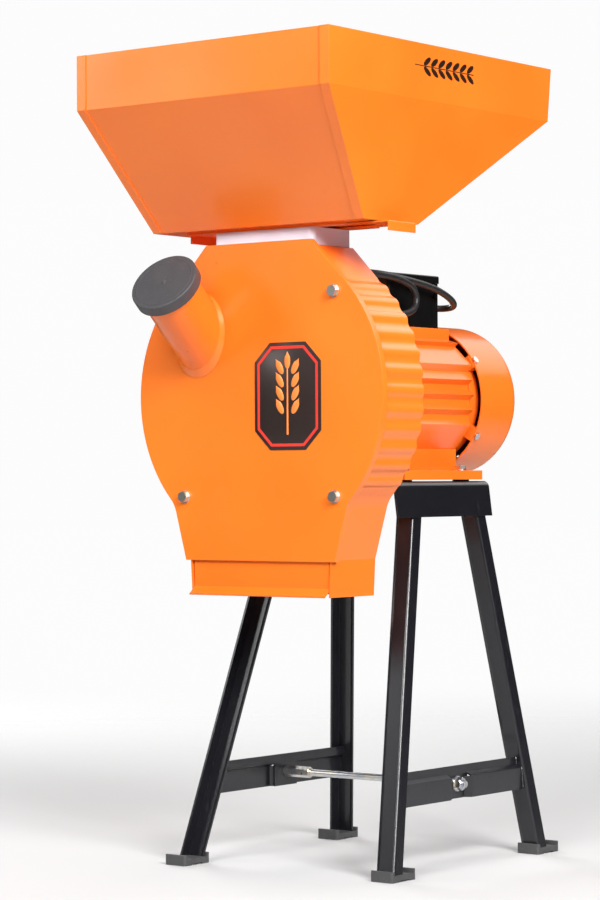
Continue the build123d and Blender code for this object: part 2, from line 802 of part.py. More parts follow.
# ---- Stand --------------------------------------------------------------------------------
def stand_top():
    """The bent channel that the legs are welded into."""
    def section(inset):
        low = TOP_SKIRT if inset == 0 else TOP_SKIRT - 5
        lean = (TOP_HALF_LOW - TOP_HALF) / (TOP_Z - TOP_SKIRT)
        top = TOP_Z - inset
        half_top = TOP_HALF - inset + lean * inset
        half_low = TOP_HALF_LOW - inset + lean * (TOP_SKIRT - low)
        corners = [(-half_low, low), (-half_top, top), (half_top, top), (half_low, low)]
        face = polygon([(px, pz - AXIS_Z) for px, pz in corners])
        tops = face.vertices().sort_by(Axis.Y)[-2:]
        return fillet(tops, 9 - inset)

    channel = along_y(section(0), TOP_FRONT, TOP_BACK)
    channel -= along_y(section(TOP_T), TOP_FRONT - 1, TOP_BACK + 1)
    for x, depth in BASE_BOLTS:
        channel -= rod_z(4.2, x, depth, TOP_Z - 5, TOP_Z + 1)
    return channel


def leg_corner(name, z):
    """Where the bend of a leg is at a height: X and depth."""
    (x0, d0), (x1, d1), _ = LEGS[name]
    share = (z - SET_LOW) / (SET_HIGH - SET_LOW)
    return (x0 + (x1 - x0) * share, d0 + (d1 - d0) * share)


def leg(name):
    """One angle-section leg, which leans both ways and is cut level at both ends."""
    side = LEGS[name][2]
    low, high = leg_corner(name, LEG_LOW_Z), leg_corner(name, LEG_HIGH_Z)
    lip = 1.6
    outline = [
        (0, 0),
        (-LEG_WIDE + 5, 0),
        (-LEG_WIDE, lip),
        (-LEG_WIDE, LEG_T + lip),
        (-LEG_WIDE + 4.6, LEG_T),
        (-LEG_T, LEG_T),
        (-LEG_T, LEG_DEEP),
        (0, LEG_DEEP),
    ]
    face = polygon([(side * px, side * py) for px, py in outline])
    bends = face.vertices().sort_by_distance((0, 0))
    face = fillet(bends[:1], 4.0)
    lean = Vector(high[0] - low[0], high[1] - low[1], LEG_HIGH_Z - LEG_LOW_Z)
    foot = Pos(low[0], y(low[1]), LEG_LOW_Z) * face
    return extrude(foot, amount=lean.length, dir=lean.normalized())


def cross_bar(side):
    """A joggled strip between the two legs of one side, pressed in round the tie rod."""
    def wall(points, d0, d1):
        face = polygon([(side * px, pz - AXIS_Z) for px, pz in points])
        return along_y(face, d0, d1)

    joggled = [
        (BAR_IN, BAR_HIGH),
        (BAR_IN, BAR_STEP + 2),
        (BAR_OUT, BAR_STEP - 2),
        (BAR_OUT, BAR_LOW),
        (BAR_OUT - BAR_T, BAR_LOW),
        (BAR_OUT - BAR_T, BAR_STEP - 3.2),
        (BAR_IN - BAR_T, BAR_STEP + 0.8),
        (BAR_IN - BAR_T, BAR_HIGH),
    ]
    flat = [
        (BAR_IN - BAR_T, BAR_LOW),
        (BAR_IN - BAR_T, BAR_HIGH),
        (BAR_IN, BAR_HIGH),
        (BAR_IN, BAR_LOW),
    ]
    half, ramp = 17.0, 6.0
    bar = wall(joggled, 70, ROD_DEPTH - half - ramp) + wall(joggled, ROD_DEPTH + half + ramp, 390)
    bar += wall(flat, ROD_DEPTH - half - ramp - 1, ROD_DEPTH + half + ramp + 1)
    for end in (-1, 1):
        near, far = ROD_DEPTH + end * half, ROD_DEPTH + end * (half + ramp)
        ramp_points = [
            (side * BAR_IN, y(near)),
            (side * BAR_OUT, y(far)),
            (side * BAR_OUT, y(far + end * 2)),
            (side * (BAR_OUT - BAR_T), y(far + end * 2)),
            (side * (BAR_IN - BAR_T), y(near + end * 2)),
        ]
        bar += Pos(0, 0, BAR_LOW) * extrude(polygon(ramp_points), BAR_STEP - BAR_LOW - 3)
    bar -= rod_x(ROD_R + 0.5, side * BAR_IN - 20, side * BAR_IN + 20, ROD_DEPTH, ROD_Z)
    for name, (_, _, leg_side) in LEGS.items():
        if leg_side == side:
            bar -= leg(name)
    return largest(bar)


def tie_rod():
    return rod_x(ROD_R, -BAR_OUT - 6, BAR_OUT + 6, ROD_DEPTH, ROD_Z)


def tie_rod_nuts():
    """The nuts and washers at the rod's ends, and the long nut inside the left bar."""
    nuts = []
    for side in (-1, 1):
        nut = Pos(side * BAR_IN, y(ROD_DEPTH), ROD_Z) * Rot(0, 90 * side, 0)
        washer = Pos(0, 0, 0.8) * Cylinder(10, 1.6)
        shape = nut * (washer + Pos(0, 0, 1.6) * hexagon(15, 8))
        nuts.append(shape - rod_x(ROD_R, -200, 200, ROD_DEPTH, ROD_Z))
    inner = Pos(-BAR_IN + BAR_T, y(ROD_DEPTH), ROD_Z) * Rot(0, 90, 0) * hexagon(13, 42)
    nuts.append(inner - rod_x(ROD_R, -200, 200, ROD_DEPTH, ROD_Z))
    right = Pos(BAR_IN - BAR_T - 8, y(ROD_DEPTH), ROD_Z) * Rot(0, 90, 0) * hexagon(15, 8)
    nuts.append(right - rod_x(ROD_R, -200, 200, ROD_DEPTH, ROD_Z))
    return Compound(nuts)


FOOT_LIP, FOOT_BASE = 13.5, 8.5


def foot(name):
    """A moulded rubber pad with raised ends, pushed over the bottom of a leg."""
    side = LEGS[name][2]
    x, depth = leg_corner(name, LEG_LOW_Z)
    near_x, far_x = sorted((x + side * 3.5, x - side * 30.5))
    near_d, far_d = sorted((depth - side * 7, depth + side * 43))
    pad = block(near_x, far_x, near_d, far_d, 0, FOOT_LIP)
    pad = fillet(pad.edges().filter_by(Axis.Z), 3)
    pad -= block(near_x - 1, far_x + 1, near_d + 5, far_d - 5, FOOT_BASE, FOOT_LIP + 1)
    pad -= block(near_x - 1, far_x + 1, near_d + 14, far_d - 14, -1, 1.6)
    return pad - leg(name)


# ---- Hopper -------------------------------------------------------------------------------
def hopper_shape(dx, front, back, top_extra=0.0, low_extra=0.0):
    """The hopper's outer form, moved in or out by level distances on its sides."""
    rise = RIM_Z - FOLD_Z
    slope_back = (RIM_BACK - FOLD_BACK) / rise
    top = (
        -RIM_HALF + dx,
        RIM_HALF - dx,
        RIM_FRONT + front,
        RIM_BACK - back + slope_back * top_extra,
        RIM_Z + top_extra,
    )
    fold = (-RIM_HALF + dx, RIM_HALF - dx, RIM_FRONT + front, FOLD_BACK - back, FOLD_Z)
    share = low_extra / (FOLD_Z - HOPPER_Z)
    half = HOPPER_HALF - share * (RIM_HALF - HOPPER_HALF)
    low = (
        -half + dx,
        half - dx,
        HOPPER_FRONT + share * (HOPPER_FRONT - RIM_FRONT) + front,
        HOPPER_BACK - share * (FOLD_BACK - HOPPER_BACK) - back,
        HOPPER_Z - low_extra,
    )
    return frustum(fold, top) + frustum(low, fold)


def hopper_sides():
    """Left and right panels; each has flanges that fold over the front and back panels."""
    outer = hopper_shape(0, PANEL, PANEL_BACK)
    walls = outer - hopper_shape(PANEL, PANEL, PANEL_BACK, 5, 5)
    flanges = hopper_shape(0, 0, 0) - hopper_shape(-5, PANEL, PANEL_BACK, 5, 5)
    flanges -= hopper_shape(FLANGE, -9, -9, 5, 5)
    both = walls + flanges
    fold_cut = Rot(0, 45, 0) * Box(2.4, 700, 2.4)
    for side in (-1, 1):
        both -= Pos(side * (RIM_HALF - FLANGE), y(RIM_FRONT - 347), FOLD_Z) * fold_cut
    parts = sorted(both.solids(), key=lambda s: -s.volume)[:2]
    return sorted(parts, key=lambda s: s.center().X)


def hopper_front_back():
    """Front and back panels with a hem turned in along the rim."""
    shell = hopper_shape(PANEL, PANEL, PANEL_BACK)
    shell -= hopper_shape(-5, 2 * PANEL, 2 * PANEL_BACK, 5, 5)
    hem = hopper_shape(PANEL, PANEL, PANEL_BACK) - hopper_shape(-5, 4 * PANEL, 3 * PANEL_BACK, 5, 5)
    hem &= block(-300, 300, -200, 500, RIM_Z - HEM, RIM_Z)
    panels = sorted((shell + hem).solids(), key=lambda s: -s.volume)[:2]
    return sorted(panels, key=lambda s: s.center().Y)


HOPPER_BOLTS = [(x, depth) for x in (-66, 66) for depth in (16.5, 83.0)]
GUIDES = ((11.5, 21.6), (78.4, 90.0))


def inlet_hole(z0, z1):
    hole = block(-INLET_HALF, INLET_HALF, INLET_FRONT, INLET_BACK, z0, z1)
    return fillet(hole.edges().filter_by(Axis.Z), 8)


def hopper_floor():
    low, high = HOPPER_Z, HOPPER_Z + 2
    floor = block(-300, 300, -100, 300, low, high) & hopper_shape(
        PANEL, 2 * PANEL, 2 * PANEL_BACK, 0, 0
    )
    floor -= inlet_hole(low - 1, high + 1)
    for x, depth in HOPPER_BOLTS:
        floor -= rod_z(3.3, x, depth, low - 1, high + 1)
    return floor


def gate_guides():
    """Two strips under the hopper's floor that guide the gate and space the neck."""
    strips = []
    for front, back in GUIDES:
        strip = block(-124, 124, front, back, NECK_TOP, HOPPER_Z)
        for x, depth in HOPPER_BOLTS:
            strip -= rod_z(3.3, x, depth, NECK_TOP - 1, HOPPER_Z + 1)
        strips.append(strip)
    return Compound(strips)


def gate_slide():
    """The sliding gate: a plate with one hole and a bent-down tab at each end."""
    gate = block(GATE_LEFT, GATE_RIGHT, GATE_FRONT, GATE_BACK, GATE_Z, GATE_Z + GATE_T)
    for x0 in (GATE_LEFT, GATE_RIGHT - GATE_T):
        gate += block(x0, x0 + GATE_T, GATE_FRONT, GATE_BACK, GATE_Z - GATE_TAB, GATE_Z + 1)
    for x in (GATE_LEFT, GATE_RIGHT):
        bend = [
            e
            for e in gate.edges().filter_by(Axis.Y)
            if abs(e.center().X - x) < 0.1 and e.center().Z > GATE_Z + 1.5
        ]
        gate = fillet(bend, 1.8)
    hole = block(58, 148, 30, 70, GATE_Z - 1, GATE_Z + 3)
    return gate - fillet(hole.edges().filter_by(Axis.Z), 8)


def inlet_neck():
    low = AXIS_Z + COVER_TOP - DRUM_INSET
    neck = block(-NECK_HALF, NECK_HALF, NECK_FRONT, NECK_BACK, low, NECK_TOP)
    neck = fillet(neck.edges().filter_by(Axis.Z), 7)
    neck -= block(-56, 56, 27, 76, low - 1, NECK_TOP + 1)
    for x, depth in HOPPER_BOLTS:
        neck -= rod_z(3.3, x, depth, low - 1, NECK_TOP + 1)
    return neck


def hopper_bolts():
    bolts = []
    sheet_low = AXIS_Z + COVER_TOP - DRUM_INSET - SHEET
    for x, depth in HOPPER_BOLTS:
        bolt = rod_z(3, x, depth, sheet_low - 8, HOPPER_Z + 2)
        bolt += fillet(
            rod_z(6, x, depth, HOPPER_Z + 2, HOPPER_Z + 5.5).edges().sort_by(Axis.Z)[-1], 2.5
        )
        bolt += Pos(x, y(depth), sheet_low - 5) * hexagon(10, 5)
        bolts.append(bolt)
    return Compound(bolts)


# ---- Write every piece --------------------------------------------------------------------
def build():
    left_side, right_side = hopper_sides()
    front_panel, back_panel = hopper_front_back()
    pieces = {
        "front_cover": front_cover(),
        "drum_wall": drum_wall(),
        "back_plate": back_plate(),
        "chute_front": chute_front(),
        "cover_bolts": cover_bolts(),
        "bolt_spacers": bolt_spacers(),
        "screen": screen(),
        "feed_tube": feed_tube(),
        "tube_cap": tube_cap(),
        "rotor_body": rotor_body(),
        "hammer_pins": hammer_pins(),
        "pin_spacers": pin_spacers(),
        "rotor_nut": rotor_nut(),
        "motor_shaft": motor_shaft(),
        "rotor_core": rotor_core(),
        "stator_core": stator_core(),
        "windings": windings(),
        "motor_shell": motor_shell(),
        "front_end_shield": front_end_shield(),
        "rear_end_shield": rear_end_shield(),
        "bearings": bearings(),
        "cooling_fan": cooling_fan(),
        "fan_cowl": fan_cowl(),
        "cowl_screws": cowl_screws(),
        "motor_base": motor_base(),
        "base_bolts": base_bolts(),
        "base_pads": base_pads(),
        "switch_box": switch_box(),
        "box_lid": box_lid(),
        "capacitors": capacitors(),
        "switch_bezel": switch_bezel(),
        "switch_rocker": rocker(),
        "cable_gland": cable_gland(),
        "power_cord": cord_tube("power_cord", CORD_OUT),
        "cord_coil": cord_coil(),
        "cord_tail": cord_tube("cord_tail", CORD_TAIL),
        "mains_plug": mains_plug(),
        "stand_top": stand_top(),
        "rubber_feet": Compound([foot(name) for name in LEGS]),
        "cross_bar_right": cross_bar(1),
        "cross_bar_left": cross_bar(-1),
        "tie_rod": tie_rod(),
        "tie_rod_nuts": tie_rod_nuts(),
        "hopper_left_side": left_side,
        "hopper_right_side": right_side,
        "hopper_front": front_panel,
        "hopper_back": back_panel,
        "hopper_floor": hopper_floor(),
        "gate_guides": gate_guides(),
        "gate_slide": gate_slide(),
        "inlet_neck": inlet_neck(),
        "hopper_bolts": hopper_bolts(),
    }
    for letter, angle in zip("abcd", PIN_DEGS):
        pieces["hammers_" + letter] = hammer_set(angle)
    for name in LEGS:
        pieces[name] = leg(name)
    return pieces


os.makedirs("parts", exist_ok=True)
for node, shape in build().items():
    export_step(shape, "parts/" + node + ".step")
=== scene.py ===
# %% [markdown]
# # An electric hammer mill: its finishes, its mains cord and its small parts
#
# The mill's frame, sheet metal, motor and stand come from the engineering model, which this
# lesson loads first and never changes. What is left for Blender is how the mill looks: glossy
# orange powder coat, black enamel on the stand, zinc-plated bolts, a rubber cord with its plug,
# the label on the front cover, weld beads and other small pieces. Lengths are in metres.

# %% Load the mill
import math

import bpy
from mathutils import Matrix, Vector


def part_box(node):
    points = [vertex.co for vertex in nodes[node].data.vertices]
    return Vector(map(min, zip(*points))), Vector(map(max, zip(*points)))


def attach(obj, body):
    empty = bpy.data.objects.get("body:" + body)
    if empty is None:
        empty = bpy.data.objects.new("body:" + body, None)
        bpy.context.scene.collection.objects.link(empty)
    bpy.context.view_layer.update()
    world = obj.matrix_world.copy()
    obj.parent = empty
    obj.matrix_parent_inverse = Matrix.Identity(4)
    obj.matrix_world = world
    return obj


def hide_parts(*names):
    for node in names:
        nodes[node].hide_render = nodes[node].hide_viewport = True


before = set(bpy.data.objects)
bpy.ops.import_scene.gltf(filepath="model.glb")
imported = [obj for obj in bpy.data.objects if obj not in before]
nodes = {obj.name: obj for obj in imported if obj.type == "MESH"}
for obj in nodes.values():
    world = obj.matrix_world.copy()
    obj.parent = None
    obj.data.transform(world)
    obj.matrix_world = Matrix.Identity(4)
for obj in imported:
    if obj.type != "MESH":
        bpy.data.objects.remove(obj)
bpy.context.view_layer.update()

# %% [markdown]
# ## The camera
#
# The mill is seen from the right of its front cover, nearly level with the middle of the drum,
# through a long lens, so that its upright edges stay almost parallel. The camera is placed by
# its distance from a point inside the mill and by the two angles it looks along, and not by
# hand, because each of those numbers means something that can be changed on its own.

# %% Camera
AIM = Vector((-0.01675, -0.05621, 0.53418))
DISTANCE, YAW, PITCH, ROLL = 3.6426, math.radians(37.74), math.radians(0.56), math.radians(-0.3)
LENS = 113.36


def make_camera():
    back = Vector(
        (math.sin(YAW) * math.cos(PITCH), -math.cos(YAW) * math.cos(PITCH), -math.sin(PITCH))
    )
    right = Vector((math.cos(YAW), math.sin(YAW), 0.0))
    up = back.cross(right)
    side = right * math.cos(ROLL) + up * math.sin(ROLL)
    top = up * math.cos(ROLL) - right * math.sin(ROLL)
    data = bpy.data.cameras.new("camera")
    data.lens, data.sensor_width = LENS, 36.0
    camera = bpy.data.objects.new("camera", data)
    place = Matrix((side, top, back)).transposed().to_4x4()
    place.translation = AIM + back * DISTANCE
    camera.matrix_world = place
    bpy.context.scene.collection.objects.link(camera)
    bpy.context.scene.camera = camera
    return camera


camera = make_camera()
print("camera at", [round(v, 3) for v in camera.location])

# %% [markdown]
# ## Floor, backdrop and light
#
# A product like this stands on pale paper in a half-dark studio, lit by a few large soft boxes.
# The soft boxes give the powder coat broad highlights with soft edges, and the darkness between
# them keeps the black stand black. A white room all round would wash both out. The backdrop is a
# big white shell that only the camera sees, so it lights nothing, and the paper fades out into
# it a few steps away from the mill.

# %% Floor and backdrop
FLOOR_R, FADE_FROM, FADE_TO = 4.0, 0.6, 3.4
BACKDROP_R, BACKDROP_GLOW = 25.0, 0.97
PAPER = (0.58, 0.58, 0.58, 1.0)


def make_floor():
    """A round sheet of paper whose edge melts into the backdrop."""
    bpy.ops.mesh.primitive_circle_add(vertices=96, radius=FLOOR_R, fill_type="NGON")
    floor = bpy.context.object
    floor.name = "floor"
    paper = bpy.data.materials.new("floor_paper")
    paper.use_nodes = True
    tree = paper.node_tree
    shader = tree.nodes["Principled BSDF"]
    shader.inputs["Base Color"].default_value = PAPER
    shader.inputs["Roughness"].default_value = 0.9
    shader.inputs["Specular IOR Level"].default_value = 0.2
    where = tree.nodes.new("ShaderNodeTexCoord")
    away = tree.nodes.new("ShaderNodeVectorMath")
    away.operation = "LENGTH"
    fade = tree.nodes.new("ShaderNodeMapRange")
    fade.interpolation_type = "SMOOTHERSTEP"
    fade.inputs["From Min"].default_value = FADE_TO
    fade.inputs["From Max"].default_value = FADE_FROM
    tree.links.new(where.outputs["Object"], away.inputs[0])
    tree.links.new(away.outputs["Value"], fade.inputs["Value"])
    tree.links.new(fade.outputs["Result"], shader.inputs["Alpha"])
    floor.data.materials.append(paper)


def make_backdrop():
    """A white shell round everything, seen by the camera alone."""
    bpy.ops.mesh.primitive_uv_sphere_add(segments=48, ring_count=24, radius=BACKDROP_R)
    shell = bpy.context.object
    shell.name = "backdrop"
    glow = bpy.data.materials.new("backdrop_white")
    glow.use_nodes = True
    shader = glow.node_tree.nodes["Principled BSDF"]
    shader.inputs["Base Color"].default_value = (0.0, 0.0, 0.0, 1.0)
    shader.inputs["Emission Color"].default_value = (1.0, 1.0, 1.0, 1.0)
    shader.inputs["Emission Strength"].default_value = BACKDROP_GLOW
    shell.data.materials.append(glow)
    shell.visible_diffuse = shell.visible_glossy = shell.visible_shadow = False
    shell.visible_transmission = shell.visible_volume_scatter = False


make_floor()
make_backdrop()
print("floor", FLOOR_R, "m in radius")


# %% Lights
def soft_box(name, place, target, size, power):
    """A soft area light that looks from its place towards a target."""
    data = bpy.data.lights.new(name, "AREA")
    data.shape, data.size, data.size_y, data.energy = "RECTANGLE", size[0], size[1], power
    light = bpy.data.objects.new(name, data)
    light.location = place
    light.rotation_mode = "QUATERNION"
    light.rotation_quaternion = (Vector(target) - Vector(place)).to_track_quat("-Z", "Y")
    bpy.context.scene.collection.objects.link(light)


def dim_room(floor_level, overhead):
    """A grey world, a little lighter overhead than at the level of the floor."""
    world = bpy.data.worlds.new("room")
    bpy.context.scene.world = world
    world.use_nodes = True
    tree = world.node_tree
    where = tree.nodes.new("ShaderNodeTexCoord")
    split = tree.nodes.new("ShaderNodeSeparateXYZ")
    grey = tree.nodes.new("ShaderNodeMapRange")
    grey.inputs["To Min"].default_value = floor_level
    grey.inputs["To Max"].default_value = overhead
    tree.links.new(where.outputs["Generated"], split.inputs[0])
    tree.links.new(split.outputs["Z"], grey.inputs["Value"])
    tree.links.new(grey.outputs["Result"], tree.nodes["Background"].inputs["Strength"])


MIDDLE = (0.0, 0.0, 0.6)
dim_room(0.22, 0.40)
soft_box("key", (3.3, -1.6, 2.5), (0.0, -0.05, 0.75), (1.7, 1.7), 250.0)
soft_box("front_fill", (0.5, -3.2, 3.0), MIDDLE, (1.8, 1.8), 110.0)
soft_box("left_box", (-2.9, -2.5, 1.9), (-0.1, -0.1, 0.9), (1.2, 1.2), 26.0)
soft_box("overhead", (0.2, 0.3, 3.2), MIDDLE, (2.2, 2.2), 12.0)
soft_box("rear_left", (-3.1, 1.5, 1.6), MIDDLE, (1.8, 1.8), 95.0)
soft_box("rear_high", (0.4, 3.0, 3.3), MIDDLE, (2.8, 2.8), 48.0)
bpy.context.scene.view_settings.view_transform = "Standard"

# %% [markdown]
# ## The mains cord
#
# A black rubber cord leaves the back of the switch box, doubles back past the box, makes a loop
# behind the drum and a second one beside the box, and the rest is wound into a coil that lies on
# the motor, with the plug on top. It is one smooth spline. The loops are stiff cord pushed
# together by hand, so their points are a list; the coil is wound by a loop, two turns wide and
# two turns high. An order-3 spline with its ends fixed bends as evenly as a real cord.

# %% Cord route
FRONT = -163.25
CORD_R = 0.0045
CORD_OUT = [
    (8, 348, 727),
    (8, 358, 727),
    (14, 369, 726),
    (28, 376, 726),
    (43, 371, 728),
    (51, 356, 734),
    (53, 335, 742),
    (55, 306, 749),
    (56, 270, 754),
    (56, 231, 758),
    (53, 193, 762),
    (47, 160, 763),
    (45, 131, 762),
    (54, 110, 760),
    (73, 105, 759),
    (90, 117, 757),
    (94, 141, 756),
    (88, 170, 755),
    (80, 198, 753),
    (75, 219, 750),
    (73, 235, 744),
    (72, 243, 733),
    (73, 239, 720),
    (74, 224, 712),
    (71, 203, 708),
    (64, 184, 705),
    (55, 167, 702),
    (50, 149, 701),
]
CORD_TAIL = [
    (0, 207, 710),
    (23, 203, 712),
    (42, 189, 716),
    (51, 167, 721),
    (48, 145, 727),
    (36, 131, 731),
    (18, 128, 733),
]


def place(x, depth, z):
    """A place in metres from millimetres, with Y given as a depth behind the front cover."""
    return Vector((x, FRONT + depth, z)) / 1000.0


coil_low, coil_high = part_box("cord_coil")
COIL_MIDDLE = (coil_low + coil_high) / 2
COIL_R = (coil_high.x - coil_low.x) / 2 - 2 * CORD_R
COIL_START, COIL_END, COIL_STEP = -40, -1320, 30


def coil_points():
    """Turns that lie two wide and two high, wound clockwise as seen from above."""
    points = []
    outside = 1 / math.cos(math.radians(COIL_STEP / 2))
    for angle in range(COIL_START, COIL_END - 1, -COIL_STEP):
        turn = (-10 - angle) / 360
        inner = min(max((turn - 0.85) / 0.3, 0), 1) - min(max((turn - 2.85) / 0.3, 0), 1)
        upper = min(max((turn - 1.85) / 0.3, 0), 1)
        radius = (COIL_R + CORD_R * (1 - 2 * inner)) * outside
        flat = Vector((math.cos(math.radians(angle)), math.sin(math.radians(angle)), 0)) * radius
        height = coil_low.z + CORD_R * (1.05 + 2 * upper)
        points.append(Vector((COIL_MIDDLE.x, COIL_MIDDLE.y, height)) + flat)
    return points


def make_cord():
    points = [place(*p) for p in CORD_OUT] + coil_points() + [place(*p) for p in CORD_TAIL]
    curve = bpy.data.curves.new("mains_cord", "CURVE")
    curve.dimensions = "3D"
    spline = curve.splines.new("NURBS")
    spline.points.add(len(points) - 1)
    for knot, point in zip(spline.points, points):
        knot.co = (*point, 1.0)
    spline.order_u = 3
    spline.use_endpoint_u = True
    spline.resolution_u = 8
    curve.bevel_depth = CORD_R
    curve.bevel_resolution = 5
    curve.use_fill_caps = True
    cord = bpy.data.objects.new("mains_cord", curve)
    bpy.context.scene.collection.objects.link(cord)
    return cord


def line_of(cord):
    """The points that a cord's own spline passes through, read with its thickness set aside."""
    depth, cord.data.bevel_depth = cord.data.bevel_depth, 0.0
    bpy.context.view_layer.update()
    mesh = bpy.data.meshes.new_from_object(cord)
    points = [v.co.copy() for v in mesh.vertices]
    bpy.data.meshes.remove(mesh)
    cord.data.bevel_depth = depth
    return points


cord = make_cord()
cord_line = line_of(cord)

# %% [markdown]
# ## A small language for finishes
#
# A procedural finish is arithmetic on patterns: scratches times a mask, plus a little noise.
# Written as node calls that is hard to read, so one small class wraps a socket and lets Python's
# own operators add the Math nodes. `Finish.add` makes every other node from its type, its
# settings and its inputs.

# %% Sockets that can be added and multiplied
class Wire:
    """One output socket of a finish; arithmetic on it adds Math nodes."""

    def __init__(self, finish, socket):
        self.finish = finish
        self.socket = socket

    def math(self, operation, first, second):
        return self.finish.add("ShaderNodeMath", {"operation": operation}, {0: first, 1: second})

    def __add__(self, other):
        return self.math("ADD", self, other)

    def __sub__(self, other):
        return self.math("SUBTRACT", self, other)

    def __rsub__(self, other):
        return self.math("SUBTRACT", other, self)

    def __mul__(self, other):
        return self.math("MULTIPLY", self, other)

    def above(self, low, high):
        """0 below the low value, 1 above the high one, and a smooth step between them."""
        settings = {"interpolation_type": "SMOOTHSTEP"}
        return self.finish.add(
            "ShaderNodeMapRange", settings, {"Value": self, "From Min": low, "From Max": high}
        )

    __radd__ = __add__
    __rmul__ = __mul__


class Finish:
    """A material under construction, with its Principled shader ready."""

    def __init__(self, name, **constants):
        self.material = bpy.data.materials.new(name)
        self.material.use_nodes = True
        self.tree = self.material.node_tree
        self.shader = self.tree.nodes["Principled BSDF"]
        for key, value in constants.items():
            self.shader.inputs[key.replace("_", " ")].default_value = value

    def add(self, kind, settings=None, inputs=None, output=0):
        node = self.tree.nodes.new(kind)
        for key, value in (settings or {}).items():
            setattr(node, key, value)
        for key, value in (inputs or {}).items():
            self.plug(node.inputs[key], value)
        return Wire(self, node.outputs[output])

    def plug(self, socket, value):
        if isinstance(value, Wire):
            self.tree.links.new(value.socket, socket)
        else:
            socket.default_value = value

    def where(self, stretch=(1.0, 1.0, 1.0), turn=(0.0, 0.0, 0.0)):
        """Object coordinates, stretched or turned."""
        here = self.add("ShaderNodeTexCoord", output="Object")
        if stretch == (1.0, 1.0, 1.0) and turn == (0.0, 0.0, 0.0):
            return here
        return self.add(
            "ShaderNodeMapping", None, {"Vector": here, "Scale": stretch, "Rotation": turn}
        )

    def noise(self, scale, detail=2.0, vector=None, roughness=0.5):
        inputs = {
            "Vector": vector or self.where(),
            "Scale": scale,
            "Detail": detail,
            "Roughness": roughness,
        }
        return self.add("ShaderNodeTexNoise", None, inputs)

    def cells(self, scale, vector=None):
        inputs = {"Vector": vector or self.where(), "Scale": scale}
        return self.add("ShaderNodeTexVoronoi", None, inputs)

    def blend(self, amount, first, second):
        """A colour between two others."""
        colours = {0: amount, 6: rgba(first), 7: rgba(second)}
        return self.add("ShaderNodeMix", {"data_type": "RGBA"}, colours, output=2)

    def rounded(self, radius):
        """A normal that rounds off sharp edges."""
        return self.add("ShaderNodeBevel", {"samples": 4}, {"Radius": radius})

    def bump(self, height, distance, normal=None, strength=1.0):
        inputs = {"Height": height, "Distance": distance, "Strength": strength}
        if normal is not None:
            inputs["Normal"] = normal
        return self.add("ShaderNodeBump", None, inputs)

    def give(self, **sockets):
        """Feed the shader's sockets and return the finished material."""
        for key, value in sockets.items():
            self.plug(self.shader.inputs[key.replace("_", " ")], value)
        return self.material


def rgba(colour):
    return colour if isinstance(colour, Wire) else (*colour, 1.0)


print("finish helpers ready")

# %% [markdown]
# ## Orange powder coat
#
# Powder coat is sprayed as dust and melted in an oven. It ends up glossy but not flat: a fine
# orange-peel ripple two or three millimetres across breaks up its reflections, the sheet under
# it is never quite flat, and its colour drifts a little with its thickness. A thin clear coat
# over the coloured layer gives the sharp highlight on top of the soft one.

# %% Powder coat
def powder_coat(name, deep, light, gloss=0.30, printed=None):
    coat = Finish(name, Coat_Roughness=0.12, Coat_IOR=1.45, Specular_IOR_Level=0.45)
    drift = coat.noise(4.0, 2.0)
    patches = coat.noise(38.0, 3.0)
    peel = coat.noise(430.0, 1.0)
    specks = coat.noise(1500.0, 0.0).above(0.76, 0.80)
    colour = coat.blend(drift.above(0.25, 0.75), deep, light)
    colour = coat.blend(specks * 0.35, colour, (0.55, 0.20, 0.06))
    if printed:
        colour = coat.blend(printed(coat), colour, (0.022, 0.010, 0.006))
    sheet = coat.bump(coat.noise(7.0, 1.0), 0.0035, coat.rounded(0.0009))
    skin = coat.bump(peel, 0.00010, sheet)
    return coat.give(
        Base_Color=colour,
        Roughness=patches * 0.10 + (gloss - 0.05),
        Coat_Weight=patches * 0.2 + 0.15,
        Normal=skin,
    )


orange_paint = powder_coat("orange_powder_coat", (0.90, 0.170, 0.012), (0.96, 0.215, 0.020))
print("made", orange_paint.name)

# %% [markdown]
# ## A printed mark on the hopper
#
# One thing is printed on the hopper, high on its right side: here it is a plain ear of grain
# lying on its side. It is ink under the clear coat, with no thickness, so it is worked out in
# the finish. Kernels repeat along the ear, so the position along it is wrapped into one cell,
# and the two rows are one row mirrored. A kernel is a leaning ellipse, and one ellipse formula
# then draws all of them.

# %% Printed ear of grain
EAR_START, EAR_HEIGHT = -0.083, 1.0055
KERNEL_PITCH, KERNELS = 0.0156, 7
KERNEL_LONG, KERNEL_WIDE, KERNEL_OUT = 0.0088, 0.0036, 0.0062
LEAN = math.radians(33.0)


